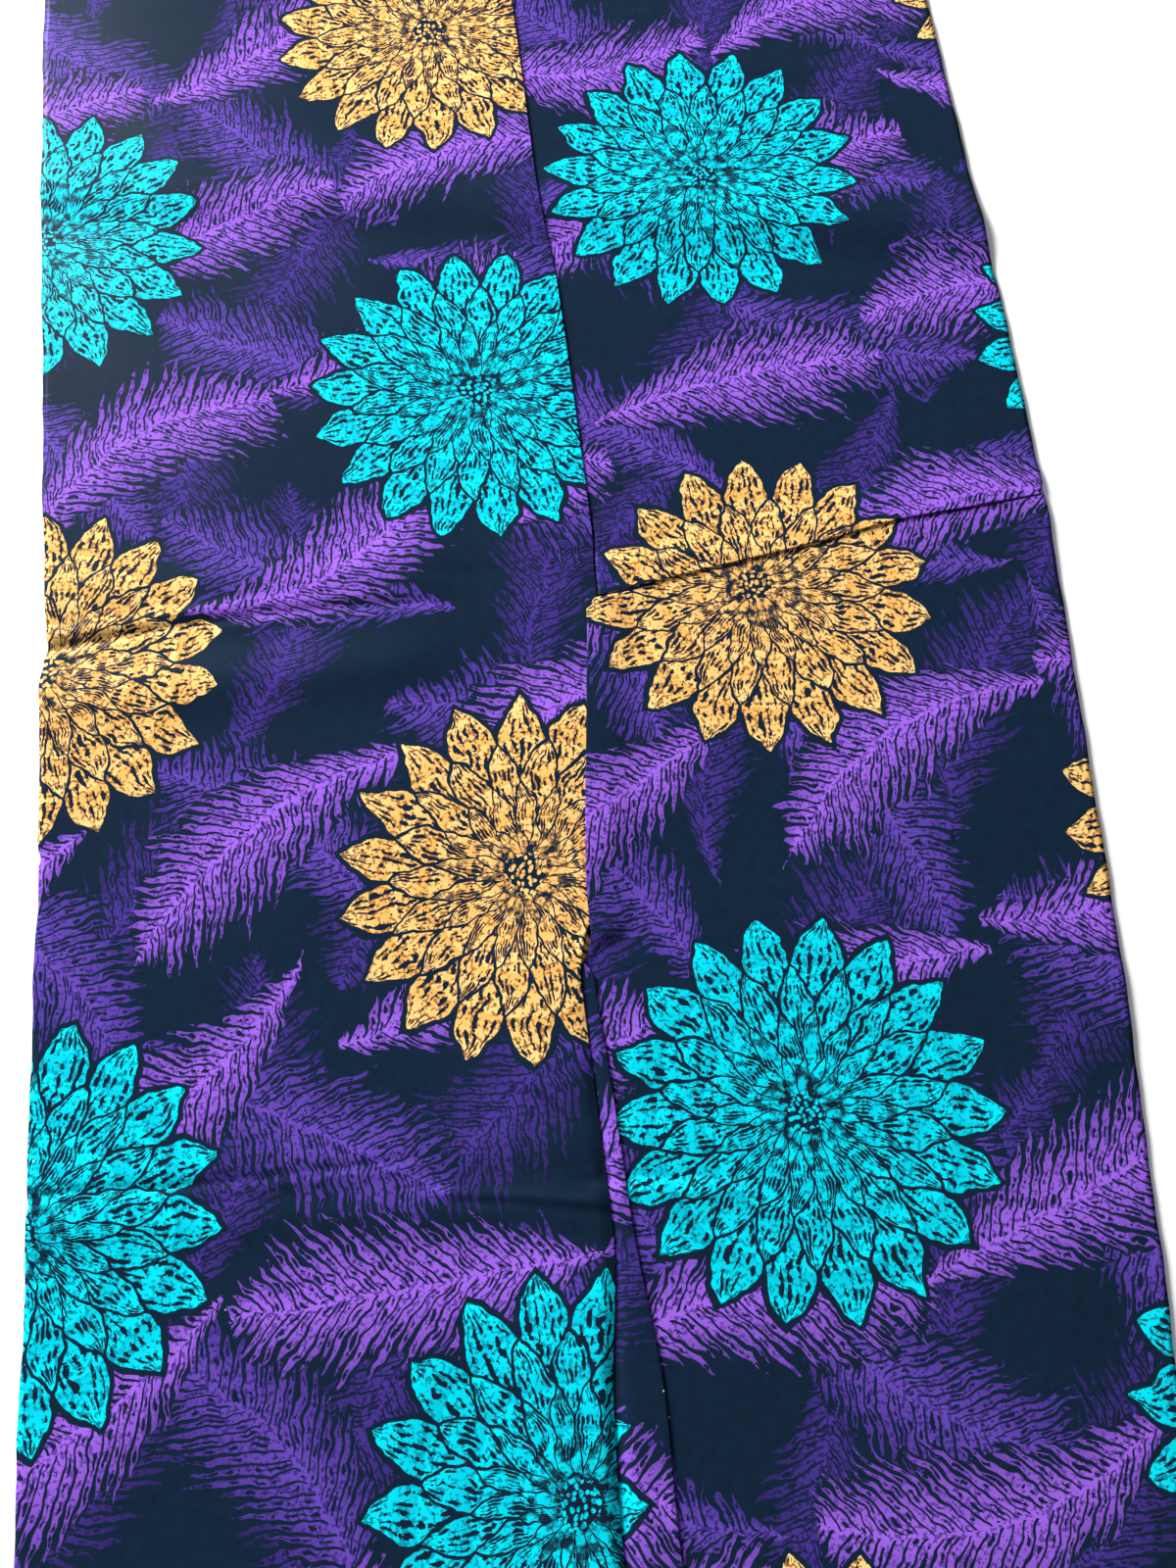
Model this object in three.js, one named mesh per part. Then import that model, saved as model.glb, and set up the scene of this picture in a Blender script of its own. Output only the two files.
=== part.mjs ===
// A length of wax-printed cotton, laid out flat and pleated down its middle.
// Millimetres, +Z up: X runs across the cloth, Y along it, and z = 0 is the surface it lies on.
// Six yards of cloth are folded into three lengths, one on the other. The two lower lengths are one solid.
// The top length is four stretches: left of the pleat, right of it above and below a slanting tuck, and
// the second ply that stands out of the pleat in the lower third.
import * as THREE from "three";

// ---- driving sizes ----------------------------------------------------------------------------------------
const PLY = 1.0; // wall that stands for the cloth
const GAP = 0.3; // between two plies that lie on each other
const STEP = PLY + GAP; // one level of the stack
const HIDDEN = 3.0; // the two lower lengths, with the air between them
const FOLD_R = STEP / 2; // radius of a folded edge, at the middle of the wall
const TURN = 8; // how far a folded edge turns back under
const MARGIN = 22; // how far a stretch runs on beneath the edge that covers it
const BESIDE_FOLD = 1.5; // near the tuck the upper stretch stops this far beside the fold instead
const SLIPS_UNDER = [104, 140]; // y from which, and by which, it has slipped beneath the fold
const FALLS_FROM = 30; // distance from the fold at which the left panel starts to come down
const FLAT_BY = 125; // and the distance at which it lies flat
const RISES_FROM = 28; // distance from the fold from which the lower lengths reach up to the left panel
const PLEAT_START = -350; // y where the second ply comes out of the pleat
const PLY_LEVEL = 3; // level that the second ply lies at
const HALF_WIDTH = 510; // of the cloth, between the two places that give a soft fold its slant

// Rows of numbers, read as objects whose keys are the names in the heading.
const table = (heading, rows) =>
  rows.map((row) => Object.fromEntries(heading.split(" ").map((name, k) => [name, row[k]])));

// The lines that run along the cloth, as x at each y. left, right: the selvedges. fold: the left panel's
// folded edge. lip: the right panel's left edge. ply: the second ply's folded edge. foldLevel, lipLevel: the
// levels that the fold and the lip lie at, counted in plies from the lower lengths. lipFlat, lipRun: how far
// the right panel stays at the lip's level, and then the length over which it comes down to level 1.
const LINES = table("y left fold ply lip right foldLevel lipLevel lipFlat lipRun", [
  [-915, -518, -44, 3, -15, 400, 5, 2, 2, 8],
  [-800, -516, -42, 3, -15, 414, 5, 2, 2, 8],
  [-690, -515, -36, 6, -12, 427, 5, 2, 2, 8],
  [-560, -512, -20, -3, -21, 442, 5, 2, 2, 8],
  [-450, -510, -21, -6, -24, 456, 5, 2, 2, 8],
  [-350, -508, -22, -10, -28, 465, 5, 2, 2, 8],
  [-328, -508, -18, -10, -14, 467, 4.5, 2, 2, 8],
  [-307, -508, -12, -10, -8, 469, 2, 4, 14, 30],
  [-285, -508, 3, -10, -8, 471, 2, 4, 14, 40],
  [-200, -505, 12, -10, 0, 479, 2, 4, 14, 40],
  [-75, -504, 28, -10, 16, 489, 2, 4, 14, 40],
  [20, -502, 38, -10, 26, 497, 2, 4, 14, 40],
  [50, -500, 39, -10, 26, 500, 2, 4, 14, 40],
  [100, -502, 42, -10, 26, 503, 3, 4, 14, 40],
  [215, -505, 42, -10, 26, 506, 3, 4, 14, 40],
  [380, -508, 41, -10, 26, 511, 3, 4, 14, 40],
  [530, -510, 33, -10, 26, 512, 3, 4, 14, 40],
  [740, -511, 33, -10, 26, 516, 3, 4, 14, 40],
  [915, -510, 31, -10, 26, 518, 3, 4, 14, 40],
]);

// The slanting tuck of the right panel. y: its folded edge at each x. under: how far the lower stretch runs
// on beneath it, or stops short of it where that is negative. level: what the fold lies at, in plies.
const TUCK = table("x y under level", [
  [20, 20, -2.5, 2],
  [66, 25, -2.5, 2.6],
  [86, 28, -2.5, 3],
  [137, 35.5, 18, 3],
  [260, 52, 16, 3],
  [358, 69, 6, 3],
  [411, 72.5, -0.9, 3],
  [525, 80, -0.9, 1.9],
]);
const TUCK_FLAT = 20; // the upper stretch starts to come down at this distance from the tuck's edge
const TUCK_RUN = 45; // and lies flat at this one

// The largest soft folds across the cloth. yLeft, yRight: where the crest or trough runs at x = -HALF_WIDTH
// and HALF_WIDTH. from, to: the x where it fades in and out. half: its half width at 0.6 of its height.
// rise: its height.
const FOLDS = table("yLeft yRight from to half rise", [
  [592, 412, -700, 700, 31, 5.6], // shop fold, standing up
  [544, 362, -700, 700, 20, -1.5], // the shallow trough on its near side
  [82, 60, -700, -60, 22, 3.2], // above the left crease
  [-26, -30, -700, -90, 20, 4.0], // below the left crease
  [-462, -520, -700, 110, 13, 1.6], // above the lower crease
  [-502, -576, -700, 110, 13, 2.0], // below the lower crease
]);
const FADE = 90; // length over which a fold fades

// Stations along the cloth, closer together where a fold or a change of level needs them.
const STATIONS = [
  -915, -840, -760, -690, -630, -590, -565, -540, -520, -500, -480, -460, -435, -390, -350, -328, -307, -285,
  -240, -180, -120, -75, -45, -26, -8, 10, 30, 50, 66, 82, 104, 140, 215, 290, 350, 395, 440, 480, 520, 560,
  600, 645, 730, 915,
];
// Distances from a folded edge at which the sections across the cloth have a point.
const NEAR_FOLD = [3, 14, 26, FALLS_FROM, 52, 85, FLAT_BY];
const LEFT_SPANS = 5; // equal spans from there to the left selvedge
const NEAR_LIP = [3, 10, 16, 24, 38, 60];
const RIGHT_SPANS = 6; // equal spans from there to the right selvedge
const PLY_SHARES = [0, 0.35, 0.7, 1]; // points across the second ply, as shares of its width
const ABOVE_TUCK = [4, 10, 18, 30, TUCK_RUN, 62]; // stations of the upper stretch, from the tuck's edge
const LOWER_TOP = -45; // the lower stretch's last fixed station; from there its rows bend to the tuck
const LOWER_BENDS = [0.35, 0.7, 0.88, 1]; // shares of the way from there to the tuck
const UPPER_BOTTOM = 215; // the upper stretch's first fixed station

// ---- curves through the tables ----------------------------------------------------------------------------
// The value of a column at a place, on a monotone cubic through the rows, so that it never overshoots a row.
function along(table, by, column, at) {
  const last = table.length - 1;
  if (at <= table[0][by]) return table[0][column];
  if (at >= table[last][by]) return table[last][column];
  const i = table.findIndex((row) => row[by] > at) - 1;
  const slope = (k) => {
    if (k < 0 || k >= last) return 0;
    return (table[k + 1][column] - table[k][column]) / (table[k + 1][by] - table[k][by]);
  };
  const tangent = (k) => {
    const before = slope(k - 1);
    const after = slope(k);
    return before * after <= 0 ? 0 : (2 * before * after) / (before + after);
  };
  const span = table[i + 1][by] - table[i][by];
  const t = (at - table[i][by]) / span;
  const start = table[i][column];
  const change = table[i + 1][column] - start;
  const a = tangent(i) * span;
  const b = tangent(i + 1) * span;
  return start + a * t + (3 * change - 2 * a - b) * t * t + (a + b - 2 * change) * t * t * t;
}
const line = (column, y) => along(LINES, "y", column, y);
const tuck = (column, x) => along(TUCK, "x", column, x);
const smooth = THREE.MathUtils.smoothstep;
const mix = THREE.MathUtils.lerp;

// Height of the soft folds above the flat cloth: a bell across each fold, faded at its ends.
function relief(x, y) {
  const across = (x + HALF_WIDTH) / (2 * HALF_WIDTH);
  return FOLDS.reduce((sum, f) => {
    const off = (y - mix(f.yLeft, f.yRight, across)) / f.half;
    const shown = smooth(x, f.from, f.from + FADE) * (1 - smooth(x, f.to - FADE, f.to));
    return sum + f.rise * shown * Math.exp(-off * off * 0.5);
  }, 0);
}
// Middle of the wall of a stretch that lies at a level of the stack.
const atLevel = (level, x, y) => HIDDEN + relief(x, y) + GAP + PLY / 2 + (level - 1) * STEP;

// Levels fall from the pleat to the plain cloth on each side, and from the tuck's edge upwards.
function leftLevel(x, y) {
  const away = line("fold", y) - x;
  return 1 + (line("foldLevel", y) - 1) * (1 - smooth(away, FALLS_FROM, FLAT_BY));
}
function rightLevel(x, y) {
  const away = x - line("lip", y);
  const flat = line("lipFlat", y);
  return 1 + (line("lipLevel", y) - 1) * (1 - smooth(away, flat, flat + line("lipRun", y)));
}
function upperLevel(x, y) {
  const away = y - tuck("y", x);
  return 1 + (tuck("level", x) - 1) * (1 - smooth(away, TUCK_FLAT, TUCK_RUN));
}

// ---- surfaces to solids -----------------------------------------------------------------------------------
// The folded edge in section: how far in from the edge, and how far down, from the turned-under end to the
// top.
const FOLDED = [
  [TURN, -2 * FOLD_R],
  ...[-90, -45, 0, 45, 90].map((degrees) => {
    const a = THREE.MathUtils.degToRad(degrees);
    return [PLY / 2 + FOLD_R * (1 - Math.cos(a)), FOLD_R * (Math.sin(a) - 1)];
  }),
];

function geometryOf(points, triangles) {
  const geometry = new THREE.BufferGeometry();
  geometry.setAttribute("position", new THREE.Float32BufferAttribute(points.flatMap((p) => p.toArray()), 3));
  geometry.setIndex(triangles);
  geometry.computeVertexNormals();
  return geometry;
}

// A wall of the cloth's thickness about a grid of points: each point moves half the thickness to both sides,
// along the grid's own normal there, and the four rims are closed. Rows run along +Y, and the points of a row
// along +X.
function wall(rows) {
  const down = rows.length;
  const wide = rows[0].length;
  const at = (j, i) => rows[Math.min(Math.max(j, 0), down - 1)][Math.min(Math.max(i, 0), wide - 1)];
  const sides = [1, -1].map((side) =>
    rows.flatMap((row, j) =>
      row.map((point, i) => {
        const u = at(j, i + 1).clone().sub(at(j, i - 1));
        const v = at(j + 1, i).clone().sub(at(j - 1, i));
        return point.clone().addScaledVector(u.cross(v).normalize(), (side * PLY) / 2);
      }),
    ),
  );
  const index = (side, j, i) => side * down * wide + j * wide + i;
  const triangles = [];
  const quad = (a, b, c, d) => triangles.push(a, b, c, a, c, d);
  for (let j = 0; j < down - 1; j++)
    for (let i = 0; i < wide - 1; i++) {
      quad(index(0, j, i), index(0, j, i + 1), index(0, j + 1, i + 1), index(0, j + 1, i));
      quad(index(1, j, i), index(1, j + 1, i), index(1, j + 1, i + 1), index(1, j, i + 1));
    }
  for (let i = 0; i < wide - 1; i++) {
    quad(index(1, 0, i), index(1, 0, i + 1), index(0, 0, i + 1), index(0, 0, i));
    quad(index(0, down - 1, i), index(0, down - 1, i + 1), index(1, down - 1, i + 1), index(1, down - 1, i));
  }
  for (let j = 0; j < down - 1; j++) {
    quad(index(0, j, 0), index(0, j + 1, 0), index(1, j + 1, 0), index(1, j, 0));
    quad(index(1, j, wide - 1), index(1, j + 1, wide - 1), index(0, j + 1, wide - 1), index(0, j, wide - 1));
  }
  return geometryOf(sides.flat(), triangles);
}

// ---- the stretches ----------------------------------------------------------------------------------------
// x of the points of a section from the left selvedge to a distance from the folded edge.
function leftColumns(y) {
  const edge = line("fold", y);
  const left = line("left", y);
  const spans = Array.from({ length: LEFT_SPANS }, (_, k) => mix(left, edge - FLAT_BY, k / LEFT_SPANS));
  return [...spans, ...NEAR_FOLD.toReversed().map((d) => edge - d)];
}
// x of the points of a section from near the lip to the right selvedge.
function rightColumns(y) {
  const start = line("lip", y);
  const right = line("right", y);
  const last = start + NEAR_LIP.at(-1);
  const spans = Array.from({ length: RIGHT_SPANS }, (_, k) => mix(last, right, (k + 1) / RIGHT_SPANS));
  return [...NEAR_LIP.map((d) => start + d), ...spans];
}

// The folded edge at the right end of a section, from its top round to the end of the ply turned under.
const turnedEdge = (edge, y, top) =>
  FOLDED.toReversed().map(([inward, drop]) => new THREE.Vector3(edge - inward, y, top + drop));

function leftPanel() {
  return wall(
    STATIONS.map((y) => {
      const edge = line("fold", y);
      const top = atLevel(line("foldLevel", y), edge, y);
      const flat = leftColumns(y).map((x) => new THREE.Vector3(x, y, atLevel(leftLevel(x, y), x, y)));
      return [...flat, ...turnedEdge(edge, y, top)];
    }),
  );
}

function pleatPly() {
  return wall(
    STATIONS.filter((y) => y <= PLEAT_START).map((y) => {
      const edge = line("ply", y);
      const inner = line("fold", y) - MARGIN;
      const xs = PLY_SHARES.map((share) => mix(inner, edge - NEAR_FOLD[0], share));
      const flat = xs.map((x) => new THREE.Vector3(x, y, atLevel(PLY_LEVEL, x, y)));
      const top = atLevel(PLY_LEVEL, edge, y);
      return [...flat, ...turnedEdge(edge, y, top)];
    }),
  );
}

function rightLower() {
  // Rows at fixed stations, then rows that bend until the last one follows the tuck.
  const fixed = STATIONS.filter((y) => y <= LOWER_TOP).map((y) => () => y);
  const bent = LOWER_BENDS.map((t) => (x) => mix(LOWER_TOP, tuck("y", x) + tuck("under", x), t));
  return wall(
    [...fixed, ...bent].map((yAt) => {
      const yEdge = yAt(line("lip", Math.min(yAt(0), 0)));
      const edge = line("lip", yEdge);
      const top = atLevel(line("lipLevel", yEdge), edge, yEdge);
      const turned = FOLDED.map(([inward, drop]) => new THREE.Vector3(edge + inward, yEdge, top + drop));
      const flat = rightColumns(yEdge).map((x) => {
        const y = yAt(x);
        return new THREE.Vector3(x, y, atLevel(rightLevel(x, Math.min(y, yEdge)), x, y));
      });
      return [...turned, ...flat];
    }),
  );
}

function rightUpper() {
  // Rows counted from the tuck's edge, then rows at fixed stations.
  const start = (y) => line("fold", y) + mix(BESIDE_FOLD, -MARGIN, smooth(y, ...SLIPS_UNDER));
  function columns(y) {
    const rest = rightColumns(y).slice(3); // without the three nearest the lip
    return [start(y), mix(start(y), rest[0], 0.5), ...rest];
  }
  const folded = FOLDED.map(([inward, drop]) =>
    columns(TUCK[0].y).map((x) => {
      const y = tuck("y", x);
      return new THREE.Vector3(x, y + inward, atLevel(tuck("level", x), x, y) + drop);
    }),
  );
  const near = ABOVE_TUCK.map((d) =>
    columns(TUCK[0].y + d).map((x) => {
      const y = tuck("y", x) + d;
      return new THREE.Vector3(x, y, atLevel(upperLevel(x, y), x, y));
    }),
  );
  const fixed = STATIONS.filter((y) => y >= UPPER_BOTTOM).map((y) =>
    columns(y).map((x) => new THREE.Vector3(x, y, atLevel(1, x, y))),
  );
  return wall([...folded, ...near, ...fixed]);
}

// The two lower lengths, as one solid. Its top lies one gap under the stretches above, its underside is flat,
// and its sides show the two plies as rounded lips with a groove between. height: share of the side's height,
// inset: how far the side lies in from the outline.
const SIDE = [
  { height: 1, inset: 1.2 },
  { height: 0.82, inset: 0.4 },
  { height: 0.62, inset: 0.4 },
  { height: 0.52, inset: 1.6 },
  { height: 0.42, inset: 0 },
  { height: 0.1, inset: 0 },
  { height: 0, inset: 0.6 },
];
function hiddenLengths() {
  const rows = STATIONS.map((y) => {
    const edge = line("fold", y);
    const left = leftColumns(y).slice(0, -2); // without the two points nearest the fold
    const middle = mix(edge, line("lip", y) + NEAR_LIP[3], 0.3); // one point under the pleat
    const right = rightColumns(y).slice(4); // without the four nearest the lip
    return [...left, middle, ...right].map((x) => {
      const raised = edge - x > RISES_FROM ? (leftLevel(x, y) - 1) * STEP : 0;
      return new THREE.Vector3(x, y, HIDDEN + relief(x, y) + raised);
    });
  });
  const down = rows.length;
  const wide = rows[0].length;
  const points = rows.flat();
  const triangles = [];
  const quad = (a, b, c, d) => triangles.push(a, b, c, a, c, d);
  // The border of the grid, once round: its index in the grid, and which way is inwards.
  const border = [];
  for (let i = 0; i < wide - 1; i++) border.push([i, i === 0 ? 1 : 0, 1]);
  for (let j = 0; j < down - 1; j++) border.push([j * wide + wide - 1, -1, j === 0 ? 1 : 0]);
  for (let i = wide - 1; i > 0; i--) border.push([(down - 1) * wide + i, i === wide - 1 ? -1 : 0, -1]);
  for (let j = down - 1; j > 0; j--) border.push([j * wide, 1, j === down - 1 ? -1 : 0]);
  const ring = ({ height, inset }) =>
    border.map(([k, inX, inY]) => {
      const p = rows.flat()[k];
      return new THREE.Vector3(p.x + inX * inset, p.y + inY * inset, p.z * height);
    });
  ring(SIDE[0]).forEach((p, k) => (points[border[k][0]] = p));
  for (let j = 0; j < down - 1; j++)
    for (let i = 0; i < wide - 1; i++)
      quad(j * wide + i, j * wide + i + 1, (j + 1) * wide + i + 1, (j + 1) * wide + i);
  let upper = border.map(([k]) => k);
  for (const level of SIDE.slice(1)) {
    const lower = border.map((_, k) => points.length + k);
    points.push(...ring(level));
    upper.forEach((a, k) => {
      const next = (k + 1) % upper.length;
      quad(a, lower[k], lower[next], upper[next]);
    });
    upper = lower;
  }
  const outline = upper.map((k) => new THREE.Vector2(points[k].x, points[k].y));
  THREE.ShapeUtils.triangulateShape(outline, []).forEach(([a, b, c]) =>
    triangles.push(upper[a], upper[c], upper[b]),
  );
  return geometryOf(points, triangles);
}

// ---- the part ---------------------------------------------------------------------------------------------
const PRINT = { roughness: 0.7, metalness: 0 }; // pressed, lightly starched cotton
const cloth = new THREE.Group();
function add(name, geometry, color) {
  const mesh = new THREE.Mesh(geometry, new THREE.MeshStandardMaterial({ color, ...PRINT }));
  mesh.name = name;
  cloth.add(mesh);
}
add("hidden_lengths", hiddenLengths(), 0x16283a);
add("right_panel_lower", rightLower(), 0x4a2f8a);
add("right_panel_upper", rightUpper(), 0x8a45c8);
add("pleat_ply", pleatPly(), 0x00a8b0);
add("left_panel", leftPanel(), 0xeab04e);

export default cloth;
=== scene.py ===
# %% [markdown]
# A length of wax-printed cotton, laid out flat. Six yards of cloth are folded into three lengths. The top one
# has a pleat down its middle and a slanting tuck across its right half. This script gives the cloth its
# finish: thin sheets with folded edges, soft shop folds and creases, and the print, all worked out by
# formulas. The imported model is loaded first. It is the frame: every piece is made at its place in it, in
# metres.

# %% The frame
from math import cos, pi, radians, sin, tau

import bpy
import numpy as np
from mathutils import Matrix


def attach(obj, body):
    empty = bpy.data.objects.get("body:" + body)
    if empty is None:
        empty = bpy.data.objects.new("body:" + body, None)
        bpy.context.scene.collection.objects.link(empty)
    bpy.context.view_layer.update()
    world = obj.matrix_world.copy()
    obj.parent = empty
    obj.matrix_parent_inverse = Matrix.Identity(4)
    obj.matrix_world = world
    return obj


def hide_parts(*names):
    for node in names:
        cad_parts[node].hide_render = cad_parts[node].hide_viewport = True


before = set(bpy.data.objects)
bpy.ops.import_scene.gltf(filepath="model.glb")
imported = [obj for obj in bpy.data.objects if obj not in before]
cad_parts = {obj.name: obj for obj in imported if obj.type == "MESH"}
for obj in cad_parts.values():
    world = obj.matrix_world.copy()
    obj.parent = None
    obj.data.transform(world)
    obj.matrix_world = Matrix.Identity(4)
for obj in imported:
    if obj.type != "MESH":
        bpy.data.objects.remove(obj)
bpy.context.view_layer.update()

# %% [markdown]
# The camera comes first, because everything is judged from where it stands. A person holds it a little over
# a metre above the cloth and looks down steeply, so the near end looks wider than the far one. A real camera
# would be set by its focal length. Here that is given as a share of the sensor's width: at 1, a thing fills
# the picture's width from as far away as it is wide.

# %% The camera
EYE = (-0.032, -0.484, 1.060)
TILT = 73.3  # degrees below the horizon
HEADING = 6.9  # degrees to the right of +Y
SENSOR = 36.0  # mm wide
LENS_SHARE = 1.0  # focal length as a share of that

camera_data = bpy.data.cameras.new("camera")
camera_data.sensor_fit = "HORIZONTAL"
camera_data.sensor_width = SENSOR
camera_data.lens = SENSOR * LENS_SHARE
camera = bpy.data.objects.new("camera", camera_data)
camera.location = EYE
camera.rotation_euler = (radians(90 - TILT), 0, radians(-HEADING))
bpy.context.scene.collection.objects.link(camera)
bpy.context.scene.camera = camera
print("camera", EYE, "lens", camera_data.lens, "mm")

# %% [markdown]
# The cloth is described by lines that run along it, as a cutter would chalk them: its selvedges, the folded
# edges of the pleat, and how many plies lie under each. All lengths in the tables are millimetres, and the
# mesh maker turns them into metres. The rows could be joined by straight lines, which would leave kinks, or
# by a plain spline, which swings past them. A monotone cubic does neither.

# %% Tables and the curve through them
MM = 0.001


def table(heading, *rows):
    """A short table as {column name: array}."""
    return dict(zip(heading.split(), np.array(rows, float).T))


def along(rows, by, column, at):
    """A column's value at any place: a cubic between rows, whose slope at a row is the harmonic mean of the
    slopes on both sides of it, or zero where those differ in sign and at both ends."""
    x, y = rows[by], rows[column]
    slope = np.diff(y) / np.diff(x)
    before, after = np.r_[0, slope], np.r_[slope, 0]
    turns = before * after <= 0
    tangent = np.where(turns, 0, 2 * before * after / np.where(turns, 1, before + after))
    at = np.clip(at, x[0], x[-1])
    k = np.clip(np.searchsorted(x, at, side="right") - 1, 0, len(x) - 2)
    span = x[k + 1] - x[k]
    t = (at - x[k]) / span
    change = y[k + 1] - y[k]
    a, b = tangent[k] * span, tangent[k + 1] * span
    return y[k] + a * t + (3 * change - 2 * a - b) * t**2 + (a + b - 2 * change) * t**3


def smooth(value, low, high):
    """0 below low, 1 above high, and 3t^2 - 2t^3 between them."""
    t = np.clip((value - low) / (high - low), 0, 1)
    return t * t * (3 - 2 * t)


def mix(a, b, t):
    """a at t = 0, b at t = 1, and a straight line between them."""
    return a + (b - a) * t


def bell(off, half):
    """e to the power of minus half the square of off / half: 1 in the middle, 0.6 at half to either side."""
    return np.exp(-((off / half) ** 2) / 2)


print("a bell, 0 to 3 halves from its middle:", np.round(bell(np.arange(4), 1), 2))


# %% The lines along the cloth
# left, right: the selvedges. fold: the left stretch's folded edge. lip: the right stretch's left edge. ply:
# the folded edge of the second ply. fold_level, lip_level: how many plies up from the lower lengths the fold
# and the lip lie. lip_flat, lip_run: how far the right stretch stays at the lip's level, and then its run
# down to level 1.
LINES = table(
    "y left fold ply lip right fold_level lip_level lip_flat lip_run",
    (-915, -518, -44, 3, -15, 400, 5, 2, 2, 8),
    (-800, -516, -42, 3, -15, 414, 5, 2, 2, 8),
    (-690, -515, -36, 6, -12, 427, 5, 2, 2, 8),
    (-560, -512, -20, -3, -21, 442, 5, 2, 2, 8),
    (-450, -510, -21, -6, -24, 456, 5, 2, 2, 8),
    (-350, -508, -22, -10, -28, 465, 5, 2, 2, 8),
    (-328, -508, -18, -10, -14, 467, 4.5, 2, 2, 8),
    (-307, -508, -12, -10, -8, 469, 2, 4, 14, 30),
    (-285, -508, 3, -10, -8, 471, 2, 4, 14, 40),
    (-200, -505, 12, -10, 0, 479, 2, 4, 14, 40),
    (-75, -504, 28, -10, 16, 489, 2, 4, 14, 40),
    (20, -502, 38, -10, 26, 497, 2, 4, 14, 40),
    (50, -500, 39, -10, 26, 500, 2, 4, 14, 40),
    (100, -502, 42, -10, 26, 503, 3, 4, 14, 40),
    (215, -505, 42, -10, 26, 506, 3, 4, 14, 40),
    (380, -508, 41, -10, 26, 511, 3, 4, 14, 40),
    (530, -510, 33, -10, 26, 512, 3, 4, 14, 40),
    (740, -511, 33, -10, 26, 516, 3, 4, 14, 40),
    (915, -510, 31, -10, 26, 518, 3, 4, 14, 40),
)
NEAR, FAR = LINES["y"][0], LINES["y"][-1]


def line(column, y):
    """x of a line, or another column, at y."""
    return along(LINES, "y", column, y)


# The slanting tuck of the right stretch. y: its folded edge. under: how far the lower part runs on beneath
# it, or stops short of it where that is negative. level: what its edge lies at. hides: how much of the
# cloth's length is folded away in it.
TUCK = table(
    "x y under level hides",
    (20, 20, -2.5, 2, 52),
    (66, 25, -2.5, 2.6, 48),
    (86, 28, -2.5, 3, 46),
    (137, 35.5, 18, 3, 40),
    (260, 52, 16, 3, 24),
    (358, 69, 6, 3, 10),
    (411, 72.5, -0.9, 3, 4),
    (525, 80, -0.9, 1.9, 0),
)
WIDTH = 1180.0  # selvedge to selvedge, with what the pleat hides
print("widest", LINES["right"][-1] - LINES["left"][-1], "mm, length", FAR - NEAR, "mm")

# %% [markdown]
# Cotton that has lain folded on a shelf keeps its shop folds as long soft swellings, with sharper press lines
# in them. A cloth simulation would make folds of its own, in other places, so these are worked out: each is a
# bell across a line, faded at its ends. The large ones belong to the imported model too. The smaller creases
# are listed one by one, none like the next, and a few long waves keep the rest from lying dead flat.

# %% Shop folds
# y_left, y_right: where the crest or trough runs at x = -HALF_WIDTH and HALF_WIDTH. start, stop: the x
# between which it shows. half: its half width. rise: its height.
HALF_WIDTH = 510.0
FADE = 90.0  # length over which it fades
SHOP_FOLDS = table(
    "y_left y_right start stop half rise",
    (592, 412, -700, 700, 31, 5.6),
    (544, 362, -700, 700, 20, -1.5),
    (82, 60, -700, -60, 22, 3.2),
    (-26, -30, -700, -90, 20, 4.0),
    (-462, -520, -700, 110, 13, 1.6),
    (-502, -576, -700, 110, 13, 2.0),
)


def slanting(y_left, y_right, x):
    """y at x of a straight line from y_left at -HALF_WIDTH to y_right at HALF_WIDTH."""
    return mix(y_left, y_right, (x + HALF_WIDTH) / (2 * HALF_WIDTH))


def relief(x, y):
    """Height of the shop folds: over them all, rise times a bell of the distance from the crest line."""
    height = 0
    for y_left, y_right, start, stop, half, rise in zip(*SHOP_FOLDS.values()):
        shown = smooth(x, start, start + FADE) * (1 - smooth(x, stop - FADE, stop))
        height = height + rise * shown * bell(y - slanting(y_left, y_right, x), half)
    return height


print(len(SHOP_FOLDS["rise"]), "shop folds, up to", SHOP_FOLDS["rise"].max(), "mm high")


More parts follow.
